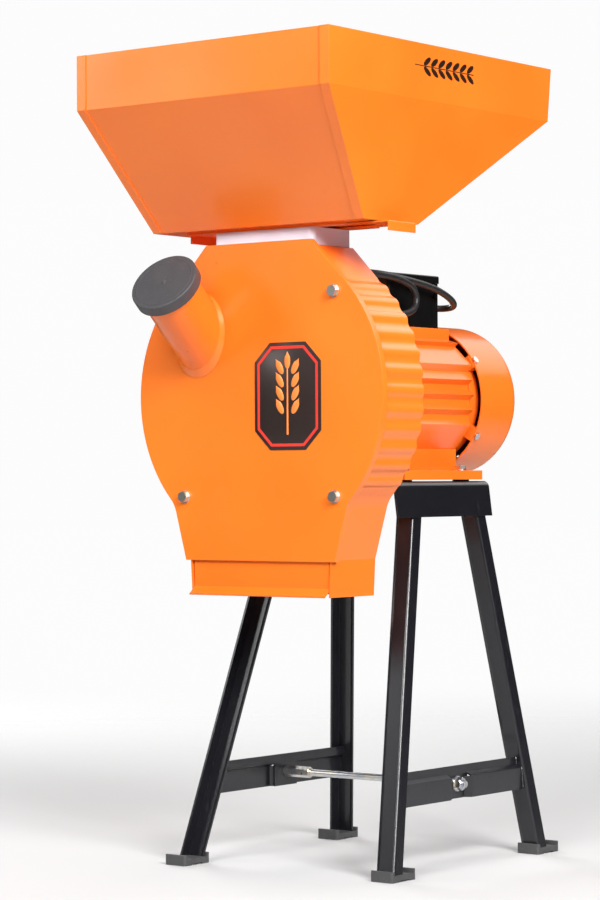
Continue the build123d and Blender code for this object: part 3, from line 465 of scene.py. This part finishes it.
def printed_ear(coat):
    """1 where the ink is, 0 elsewhere, on the hopper's right face only."""
    split = coat.add("ShaderNodeSeparateXYZ", None, {0: coat.where()})
    across, along, up = (Wire(coat, split.socket.node.outputs[i]) for i in range(3))
    cell = along * (1 / KERNEL_PITCH) - EAR_START / KERNEL_PITCH
    beside = coat.add("ShaderNodeMath", {"operation": "ABSOLUTE"}, {0: up - EAR_HEIGHT})
    here = coat.add("ShaderNodeMath", {"operation": "FRACT"}, {0: cell})
    step = (here - 0.5) * KERNEL_PITCH
    out = beside - KERNEL_OUT
    length = (step * math.cos(LEAN) + out * math.sin(LEAN)) * (1 / KERNEL_LONG)
    width = (out * math.cos(LEAN) - step * math.sin(LEAN)) * (1 / KERNEL_WIDE)
    outside = (length * length + width * width).above(0.88, 1.06)
    kernels = (1.0 - outside) * cell.above(0.0, 0.02) * (1.0 - cell.above(KERNELS, KERNELS + 0.02))
    stem = (1.0 - beside.above(0.0005, 0.0008)) * cell.above(-1.2, -1.18)
    stem = stem * (1.0 - cell.above(KERNELS, KERNELS + 0.02))
    ink = coat.add("ShaderNodeMath", {"operation": "MAXIMUM"}, {0: kernels, 1: stem})
    return ink * across.above(0.1990, 0.1995)


printed_orange = powder_coat(
    "printed_powder_coat", (0.90, 0.170, 0.012), (0.96, 0.215, 0.020), printed=printed_ear
)
print("made", printed_orange.name)

# %% [markdown]
# ## Black enamel
#
# The stand is steel section under black enamel. The enamel is smooth enough to mirror the soft
# boxes as long streaks down each leg, and it gathers pale dust and fine scuffs first.

# %% Black enamel
def black_enamel():
    enamel = Finish("black_enamel", Coat_Roughness=0.10, Specular_IOR_Level=0.5)
    dust = enamel.noise(700.0, 2.0).above(0.62, 0.78)
    scuffs = enamel.noise(160.0, 4.0, enamel.where((1.0, 1.0, 0.08))).above(0.62, 0.72)
    colour = enamel.blend(dust * 0.06 + scuffs * 0.04, (0.008, 0.008, 0.011), (0.12, 0.12, 0.15))
    peel = enamel.bump(enamel.noise(300.0, 1.0), 0.00012, enamel.rounded(0.0008))
    cloud = enamel.noise(24.0, 3.0)
    return enamel.give(
        Base_Color=colour,
        Roughness=cloud * 0.16 + scuffs * 0.15 + 0.26,
        Coat_Weight=0.35 - scuffs * 0.2,
        Normal=peel,
    )


black_paint = black_enamel()
print("made", black_paint.name)

# %% [markdown]
# ## Metals
#
# Zinc plating is a soft, slightly cloudy silver with a hint of blue and straw where the bath
# passivated it. Machined and rolled steel is greyer, with fine tool lines. Both are metals, so
# their colour goes into the reflection, and what changes over them is mostly roughness.

# %% Metals
def plated_zinc():
    zinc = Finish("zinc_plate", Metallic=1.0)
    cloud = zinc.noise(260.0, 3.0)
    tint = zinc.noise(90.0, 1.0).above(0.35, 0.65)
    colour = zinc.blend(tint, (0.62, 0.64, 0.68), (0.74, 0.71, 0.62))
    lines = zinc.noise(1800.0, 2.0)
    normal = zinc.bump(lines, 0.00002, zinc.rounded(0.0004))
    return zinc.give(Base_Color=colour, Roughness=cloud * 0.22 + 0.20, Normal=normal)


def worked_steel(name, tone, stretch, lines=900.0):
    """Bare steel with tool lines that run along the stretched direction."""
    steel = Finish(name, Metallic=1.0)
    grain = steel.noise(lines, 3.0, steel.where(stretch))
    stain = steel.noise(30.0, 4.0).above(0.50, 0.80)
    dark = tuple(v * 0.62 for v in tone)
    colour = steel.blend(stain * 0.6 + grain * 0.25, tone, dark)
    normal = steel.bump(grain, 0.00004, steel.rounded(0.0003))
    roughness = grain * 0.25 + stain * 0.15 + 0.24
    return steel.give(Base_Color=colour, Roughness=roughness, Normal=normal)


zinc_plate = plated_zinc()
turned_steel = worked_steel("turned_steel", (0.46, 0.46, 0.47), (1.0, 0.04, 1.0))
rolled_steel = worked_steel("rolled_steel", (0.40, 0.40, 0.41), (0.06, 1.0, 1.0), 500.0)
can_aluminium = worked_steel("can_aluminium", (0.78, 0.78, 0.80), (1.0, 0.03, 1.0), 1200.0)
print("metals made")


# %% [markdown]
# ## Inside the motor
#
# The rotor and stator cores are stacks of half-millimetre steel sheets under dark varnish, so
# they show fine rings along the shaft. The copper end turns are hundreds of enamelled wires,
# drawn here as narrow bands with an amber varnish that pools between them.

# %% Cores and windings
def laminated_core():
    core = Finish("laminated_core", Metallic=0.75)
    sheets = core.add(
        "ShaderNodeTexWave",
        {"wave_type": "BANDS", "bands_direction": "Y"},
        {"Vector": core.where(), "Scale": 160.0, "Distortion": 0.3},
        "Fac",
    )
    rust = core.noise(45.0, 3.0).above(0.55, 0.8)
    colour = core.blend(rust * 0.5, (0.13, 0.13, 0.14), (0.20, 0.11, 0.06))
    return core.give(
        Base_Color=colour, Roughness=sheets * 0.2 + 0.38, Normal=core.bump(sheets, 0.00012)
    )


def enamelled_copper():
    copper = Finish("enamelled_copper", Metallic=0.85, Coat_Weight=0.6, Coat_Roughness=0.15)
    wires = copper.add(
        "ShaderNodeTexWave",
        {"wave_type": "RINGS", "rings_direction": "Y"},
        {"Vector": copper.where(), "Scale": 90.0, "Distortion": 1.6, "Detail": 1.0},
        "Fac",
    )
    colour = copper.blend(wires, (0.25, 0.07, 0.025), (0.72, 0.32, 0.14))
    return copper.give(
        Base_Color=colour, Roughness=0.45 - wires * 0.15, Normal=copper.bump(wires, 0.0005)
    )


core_steel = laminated_core()
copper = enamelled_copper()
print("motor finishes made")

# %% [markdown]
# ## Plastics and rubber
#
# The inlet neck is milky polypropylene that lets some light in, so it gets subsurface
# scattering. The cap, cord, feet and box are all black, yet the eye tells them apart: the cap is
# a dusty grey soft plastic, the box is shiny and deep black, the cord has a dull skin and the
# feet are coarse rubber.

# %% Plastics
def milky_plastic():
    milk = Finish(
        "milky_polypropylene",
        Subsurface_Weight=0.35,
        Subsurface_Radius=(1.0, 0.8, 0.9),
        Subsurface_Scale=0.004,
        Specular_IOR_Level=0.4,
    )
    flow = milk.noise(20.0, 3.0, milk.where((1.0, 1.0, 0.25)))
    colour = milk.blend(flow, (0.66, 0.68, 0.80), (0.80, 0.82, 0.90))
    skin = milk.bump(milk.noise(500.0, 2.0), 0.00006, milk.rounded(0.0008))
    return milk.give(Base_Color=colour, Roughness=flow * 0.15 + 0.30, Normal=skin)


def dark_plastic(name, tone, dusty, roughness, grain, depth, shine=0.45):
    """Moulded black plastic or rubber: a base tone, pale dust and a moulded grain."""
    skin = Finish(name, Specular_IOR_Level=shine)
    cloud = skin.noise(55.0, 4.0)
    dust = skin.noise(320.0, 3.0).above(0.50, 0.85)
    pale = tuple(min(1.0, v + dusty) for v in tone)
    colour = skin.blend(dust * 0.5 + cloud * 0.4, tone, pale)
    pits = skin.cells(grain)
    normal = skin.bump(pits, depth, skin.rounded(0.0006))
    return skin.give(
        Base_Color=colour, Roughness=cloud * 0.12 + dust * 0.08 + roughness, Normal=normal
    )


neck_plastic = milky_plastic()
cap_plastic = dark_plastic("soft_cap_plastic", (0.050, 0.050, 0.055), 0.045, 0.42, 900.0, 0.00005)
box_plastic = dark_plastic(
    "glossy_box_plastic", (0.004, 0.004, 0.004), 0.004, 0.24, 700.0, 0.00002, shine=0.3
)
fan_plastic = dark_plastic("fan_plastic", (0.018, 0.018, 0.019), 0.02, 0.40, 800.0, 0.00004)
cord_skin = dark_plastic("cord_sheath", (0.014, 0.014, 0.014), 0.016, 0.36, 1400.0, 0.00004)
foot_rubber = dark_plastic("foot_rubber", (0.050, 0.050, 0.052), 0.05, 0.62, 650.0, 0.00012)
print("plastics made")


# %% Red rocker
def clear_red():
    red = Finish("clear_red_plastic", Coat_Weight=0.5, Coat_Roughness=0.05)
    depth = red.noise(70.0, 2.0)
    colour = red.blend(depth, (0.42, 0.010, 0.008), (0.62, 0.022, 0.015))
    return red.give(
        Base_Color=colour, Roughness=depth * 0.08 + 0.14, Normal=red.rounded(0.0006)
    )


rocker_red = clear_red()
print("made", rocker_red.name)

# %% [markdown]
# ## Dressing the mill
#
# Every piece of the engineering model now gets its finish. The table runs from finish to
# pieces, because that is how a painter would sort them on the bench.

# %% Give every piece its finish
FINISHES = {
    orange_paint: (
        "front_cover drum_wall back_plate chute_front feed_tube motor_shell front_end_shield "
        "rear_end_shield fan_cowl motor_base hopper_left_side hopper_front "
        "hopper_back hopper_floor gate_guides gate_slide"
    ),
    black_paint: (
        "stand_top cross_bar_right cross_bar_left leg_front_right leg_rear_right "
        "leg_front_left leg_rear_left"
    ),
    zinc_plate: "cover_bolts base_bolts cowl_screws hopper_bolts tie_rod tie_rod_nuts",
    turned_steel: "bolt_spacers rotor_body hammer_pins pin_spacers rotor_nut motor_shaft bearings",
    rolled_steel: "screen hammers_a hammers_b hammers_c hammers_d",
    core_steel: "rotor_core stator_core",
    copper: "windings",
    neck_plastic: "inlet_neck",
    cap_plastic: "tube_cap",
    box_plastic: "switch_box box_lid switch_bezel",
    fan_plastic: "cooling_fan",
    cord_skin: "cable_gland",
    foot_rubber: "rubber_feet base_pads",
    can_aluminium: "capacitors",
    rocker_red: "switch_rocker",
    printed_orange: "hopper_right_side",
}


def dress(piece, finish):
    piece.data.materials.clear()
    piece.data.materials.append(finish)


dress(nodes["mains_plug"], cord_skin)
dressed = 1
for finish, names in FINISHES.items():
    for name in names.split():
        dress(nodes[name], finish)
        dressed += 1
print("dressed", dressed, "of", len(nodes), "pieces")

# %% [markdown]
# ## Tools for small pieces
#
# The small pieces are shaped in edit mode. Two shapes cover most of them. A turned piece
# grows ring by ring from a disc, like work on a lathe: each ring is an extrude and a resize. A
# clipped plate starts as a square whose corners are cut, and is extruded to its thickness. Both
# end the same way: the place is written into the mesh, normals are made to point outwards, and
# the piece gets its finish and the body that it rides on.

# %% Start and finish a piece
def start_piece(name, primitive, **settings):
    """Add a primitive with nothing else selected and open it in edit mode."""
    bpy.ops.object.select_all(action="DESELECT")
    primitive(**settings)
    piece = bpy.context.object
    piece.name = name
    bpy.ops.object.mode_set(mode="EDIT")
    return piece


def close_mesh(piece, smooth=35.0):
    """Leave edit mode with clean normals and the piece's place written into its mesh."""
    bpy.ops.mesh.select_all(action="SELECT")
    bpy.ops.mesh.normals_make_consistent(inside=False)
    bpy.ops.object.mode_set(mode="OBJECT")
    bpy.ops.object.transform_apply(location=True, rotation=True, scale=True)
    bpy.ops.object.shade_smooth_by_angle(angle=math.radians(smooth))
    return piece


def join_pieces(name, parts):
    """Join finished parts into one piece."""
    bpy.ops.object.select_all(action="DESELECT")
    for part in parts:
        part.select_set(True)
    bpy.context.view_layer.objects.active = parts[0]
    bpy.ops.object.join()
    parts[0].name = name
    return parts[0]


def settle(piece, finish, body="mill"):
    """Give a piece its finish and its body."""
    dress(piece, finish)
    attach(piece, body)
    print(piece.name, "has", len(piece.data.polygons), "faces")


# %% Turned pieces and clipped plates
def turned(name, start, axis, rings, sides=36):
    """A round piece; each ring is its distance from the start and its radius, in mm."""
    axis = Vector(axis).normalized()
    start = Vector(start)
    piece = start_piece(
        name,
        bpy.ops.mesh.primitive_circle_add,
        vertices=sides,
        radius=rings[0][1] / 1000,
        fill_type="NGON",
        location=start + axis * (rings[0][0] / 1000),
        rotation=axis.to_track_quat("Z", "Y").to_euler(),
    )
    for (near, before), (far, after) in zip(rings, rings[1:]):
        step = axis * ((far - near) / 1000)
        bpy.ops.mesh.extrude_region_move(TRANSFORM_OT_translate={"value": step})
        bpy.ops.transform.resize(
            value=(after / before,) * 3, center_override=start + axis * (far / 1000)
        )
    return close_mesh(piece)


def clipped_plate(name, centre, size, clip, thick, wall=0.0, arcs=1, edge=0.0):
    """An upright plate with cut corners, or with a wall width only its outline, in mm."""
    centre = Vector(centre)
    piece = start_piece(
        name,
        bpy.ops.mesh.primitive_plane_add,
        size=0.001,
        location=centre,
        rotation=(math.pi / 2, 0.0, 0.0),
    )
    bpy.ops.transform.resize(value=(size[0], 1.0, size[1]), center_override=centre)
    bpy.ops.mesh.bevel(offset=clip / 1000, affect="VERTICES", segments=arcs)
    if wall:
        bpy.ops.mesh.inset(thickness=wall / 1000)
        bpy.ops.mesh.delete(type="FACE")
        bpy.ops.mesh.select_all(action="SELECT")
    bpy.ops.mesh.extrude_region_move(TRANSFORM_OT_translate={"value": (0, -thick / 1000, 0)})
    if edge:
        bpy.ops.mesh.bevel(offset=edge / 1000, segments=2, affect="EDGES")
    return close_mesh(piece)


print("shaping tools ready")

# %% [markdown]
# ## The label on the front cover
#
# The cover carries a dark label about as big as a hand. Here it is a plain eight-sided plate
# with a red line round its edge and an ear of grain in relief. One kernel is modelled, as a
# sphere drawn out to a point, and copied up both sides of the stem.

# %% Label plate and its red line
def printed_plastic(name, tone, deeper):
    """Printed film: flat ink with a slight mottle, under a thin varnish."""
    film = Finish(name, Coat_Weight=0.3, Coat_Roughness=0.2, Specular_IOR_Level=0.35)
    mottle = film.noise(320.0, 3.0)
    wear = film.noise(60.0, 4.0).above(0.60, 0.85)
    colour = film.blend(mottle * 0.7 + wear * 0.3, tone, deeper)
    ripple = film.bump(film.noise(900.0, 1.0), 0.00003, film.rounded(0.0003))
    return film.give(Base_Color=colour, Roughness=mottle * 0.12 + 0.34, Normal=ripple)


label_black = printed_plastic("label_black", (0.020, 0.012, 0.010), (0.030, 0.018, 0.015))
label_red = printed_plastic("label_red", (0.80, 0.045, 0.028), (0.68, 0.034, 0.022))
label_gold = printed_plastic("label_gold", (0.93, 0.26, 0.05), (0.82, 0.20, 0.035))

LABEL = place(47.5, 0.0, 600.0)
label_plate = clipped_plate("label_plate", LABEL, (104, 134), 24, 0.8, edge=0.25)
settle(label_plate, label_black)
label_line = clipped_plate(
    "label_line", LABEL + Vector((0, -0.00075, 0)), (95, 125), 21.5, 0.25, wall=3.6
)
settle(label_line, label_red)


# %% Ear of grain
GRAIN_R, GRAIN_FLATNESS, TIP_PULL = 0.010, (0.56, 0.14, 1.0), 0.0009
TIP_STEPS = ((0.004, 0.84), (0.007, 0.62), (0.009, 0.30))  # height in metres, and shrink


def make_kernel(name):
    """A flat kernel with a drawn-out tip, standing at the middle of the world."""
    kernel = start_piece(
        name, bpy.ops.mesh.primitive_uv_sphere_add, segments=18, ring_count=12, radius=GRAIN_R
    )
    bpy.ops.transform.resize(value=GRAIN_FLATNESS, center_override=(0, 0, 0))
    for level, shrink in TIP_STEPS:
        bpy.ops.object.mode_set(mode="OBJECT")
        for vertex in kernel.data.vertices:
            vertex.select = vertex.co.z > level
        bpy.ops.object.mode_set(mode="EDIT")
        bpy.ops.transform.resize(value=(shrink, 1.0, 1.0), center_override=(0, 0, 0))
        bpy.ops.transform.translate(value=(0, 0, TIP_PULL))
        bpy.ops.mesh.select_all(action="DESELECT")
    return close_mesh(kernel)


def copy_of(piece, name, at, lean):
    """A copy with its own mesh, turned in the upright plane and put in its place."""
    twin = piece.copy()
    twin.data = piece.data.copy()
    twin.name = name
    bpy.context.scene.collection.objects.link(twin)
    twin.data.transform(Matrix.Translation(at) @ Matrix.Rotation(lean, 4, "Y"))
    return twin


LABEL_FACE = LABEL + Vector((0, -0.0008, 0))
kernel = make_kernel("kernel")
ear_parts = []
for row in range(4):
    for side in (-1, 1):
        at = LABEL_FACE + Vector((side * 0.0118, 0, -0.014 + row * 0.0165))
        ear_parts.append(copy_of(kernel, "kernel_copy", at, side * math.radians(30)))
ear_parts.append(copy_of(kernel, "kernel_top", LABEL_FACE + Vector((0, 0, 0.043)), 0.0))
bpy.data.objects.remove(kernel, do_unlink=True)
stem_rings = [(0, 1.2), (1, 1.5), (20, 1.3), (60, 1.0), (83, 0.8), (84, 0.4)]
ear_parts.append(turned("stem", LABEL_FACE + Vector((0, 0, -0.048)), (0, 0, 1), stem_rings, 14))
label_ear = join_pieces("label_ear", ear_parts)
settle(label_ear, label_gold)

# %% [markdown]
# ## Plug and cable tie
#
# The lead ends in a two-pin plug that lies on the coil. Its body is turned: ribs for the
# fingers, then a cone that runs out into the ribbed tail round the cord. The pins are turned too,
# with rounded ends. A nylon tie holds the coil: a square loop with soft corners, a head and a
# short tail.

# %% Plug
PLUG_BACK = place(-50.0, 128.0, 733.0)
grip = [(0, 14.6), (0.5, 15.8), (1.6, 16.5), (5.0, 16.6)]
for rib in range(6):
    first = 6.0 + rib * 4.4
    grip += [(first, 16.9), (first + 2.2, 16.9), (first + 2.6, 16.0), (first + 4.0, 16.0)]
grip += [(34.0, 16.4), (38.0, 15.0), (44.0, 11.6), (48.0, 9.6)]
for rib in range(5):
    first, radius = 49.0 + rib * 3.4, 9.2 - rib * 0.7
    grip += [(first, radius), (first + 1.9, radius - 0.1), (first + 2.2, radius - 1.3)]
    grip += [(first + 3.2, radius - 1.4)]
grip += [(67.0, 5.6), (67.8, 5.0)]
plug_grip = turned("plug_grip", PLUG_BACK, (1, 0, 0), grip, 48)
settle(plug_grip, cord_skin)
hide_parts("mains_plug")

pin_rings = [(-0.5, 2.3), (11, 2.35), (17.4, 2.35), (18.3, 1.9), (18.8, 1.2), (19.0, 0.4)]
pins = [
    turned("plug_pin", PLUG_BACK + Vector((0, side * 0.0095, 0)), (-1, 0, 0), pin_rings, 24)
    for side in (-1, 1)
]
plug_pins = join_pieces("plug_pins", pins)
settle(plug_pins, zinc_plate)

# %% Cable tie
TIE = Vector((COIL_MIDDLE.x - COIL_R, COIL_MIDDLE.y, (coil_low.z + coil_high.z) / 2))
tie_parts = [
    clipped_plate("tie_loop", TIE, (20.4, 20.2), 4.5, 4.2, wall=0.9, arcs=5),
    clipped_plate("tie_head", TIE + Vector((-0.004, 0.0006, 0.0118)), (6.4, 4.0), 0.8, 5.2, arcs=3),
    clipped_plate("tie_tail", TIE + Vector((-0.0125, -0.0006, 0.0116)), (13, 1.1), 0.3, 3.2),
]
cable_tie = join_pieces("cable_tie", tie_parts)
settle(cable_tie, fan_plastic)

# %% [markdown]
# ## Marks on the cap, and weld beads on the stand
#
# A moulded cap shows where the plastic ran in: a small nib in the middle of its face, and a low
# step near the rim. The cross bars are welded to the legs, and under the enamel each bead still
# shows its ripples, one for each dip of the rod.

# %% Cap face
CAP_AXIS = Vector((0.1, -1.0, 0.82)).normalized()
CAP_FACE = place(-95.5, 0.0, 680.3) + CAP_AXIS * 0.1014
nib_rings = [(-0.6, 3.4), (0.1, 3.3), (0.45, 2.9), (0.5, 1.5), (0.9, 1.2), (1.0, 0.6)]
cap_nib = turned("cap_nib", CAP_FACE, CAP_AXIS, nib_rings, 28)
step_rings = [(-1.2, 39.4), (0.12, 39.2), (0.28, 38.8), (0.28, 37.8), (0.1, 37.5), (-1.2, 37.4)]
cap_step = turned("cap_step", CAP_FACE, CAP_AXIS, step_rings, 96)
cap_marks = join_pieces("cap_marks", [cap_nib, cap_step])
settle(cap_marks, cap_plastic, "cap")


# %% Weld beads
def bead(name, start, end, radius=1.9, pitch=2.1):
    """A rippled bead between two places: swelling rings, and round ends."""
    length = (end - start).length * 1000
    ripples = max(3, round(length / pitch))
    step = length / ripples
    rings = [(-radius * 0.8, radius * 0.4)]
    for i in range(ripples):
        rings += [(i * step, radius * 0.84), (i * step + step * 0.45, radius * 1.04)]
    rings += [(length, radius * 0.8), (length + radius * 0.8, radius * 0.35)]
    return turned(name, start, end - start, rings, 14)


# each row: side, depths of a leg's weld at the heights 88 and 114, and at 118 and 127 millimetres
BAR_WELDS = [
    (1, (80.2, 87.4), (88.6, 91.4)),
    (1, (371.0, 368.0), (367.4, 366.4)),
    (-1, (83.4, 90.2), (91.4, 93.8)),
    (-1, (369.6, 365.4), (364.6, 363.2)),
]
beads = []
for side, low, high in BAR_WELDS:
    for x, depths, heights in ((148.6, low, (88, 114)), (140.6, high, (118, 127))):
        ends = [place(side * x, d, z) for d, z in zip(depths, heights)]
        beads.append(bead("bead", *ends))
weld_beads = join_pieces("bar_welds", beads)
settle(weld_beads, black_paint)

# %% [markdown]
# ## Finishing the cord
#
# The cord rides on the mill. Its spline stands for the three plain solids that the engineering
# model keeps for it, and the plug with its pins goes with it.

dress(cord, cord_skin)
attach(cord, "mill")
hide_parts("power_cord", "cord_coil", "cord_tail")
place(*CORD_OUT[0])
